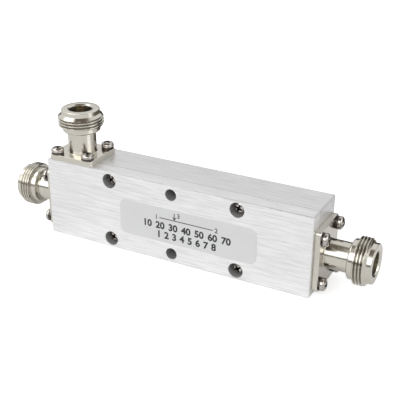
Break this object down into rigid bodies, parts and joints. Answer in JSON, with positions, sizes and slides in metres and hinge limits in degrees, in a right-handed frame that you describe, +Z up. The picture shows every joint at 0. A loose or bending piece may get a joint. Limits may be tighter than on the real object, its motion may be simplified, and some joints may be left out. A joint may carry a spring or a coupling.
{
  "type": "directional coupler",
  "caption": "Slim two-piece metal block with a threaded coaxial jack at each end and a third jack on top near one end; passes a signal through and taps off a share of it.",
  "frame": {"origin": "centre of the flat bottom face of the block", "axes": "+X along the block from the input jack to the output jack, +Y from the front face to the back, +Z up, the way the top jack points"},
  "size_m": [0.137, 0.0199, 0.047],
  "materials": {
    "block_aluminium": "fine lengthwise brushed",
    "screw_steel": "polished stainless",
    "washer_steel": "dull stainless",
    "label_foil": "satin silver foil",
    "line_brass": "silver plated",
    "white_insulator": "waxy white",
    "resistor_ceramic": "fired ceramic",
    "nickel_shell": "bright nickel plated",
    "gold_contact": "gold plated"
  },
  "bodies": {
    "root": {"housing": "block_aluminium", "cover": "block_aluminium", "cover_screws": "screw_steel", "label": "label_foil", "main_line": "line_brass", "coupled_line": "line_brass", "line_supports": "white_insulator", "load_resistor": "resistor_ceramic", "input_connector_shell": "nickel_shell", "input_insulator": "white_insulator", "input_centre_contact": "gold_contact", "input_flange_screws": "screw_steel", "input_lock_washers": "washer_steel", "output_connector_shell": "nickel_shell", "output_insulator": "white_insulator", "output_centre_contact": "gold_contact", "output_flange_screws": "screw_steel", "output_lock_washers": "washer_steel", "coupled_connector_shell": "nickel_shell", "coupled_insulator": "white_insulator", "coupled_centre_contact": "gold_contact", "coupled_flange_screws": "screw_steel", "coupled_lock_washers": "washer_steel"}
  },
  "joints": []
}
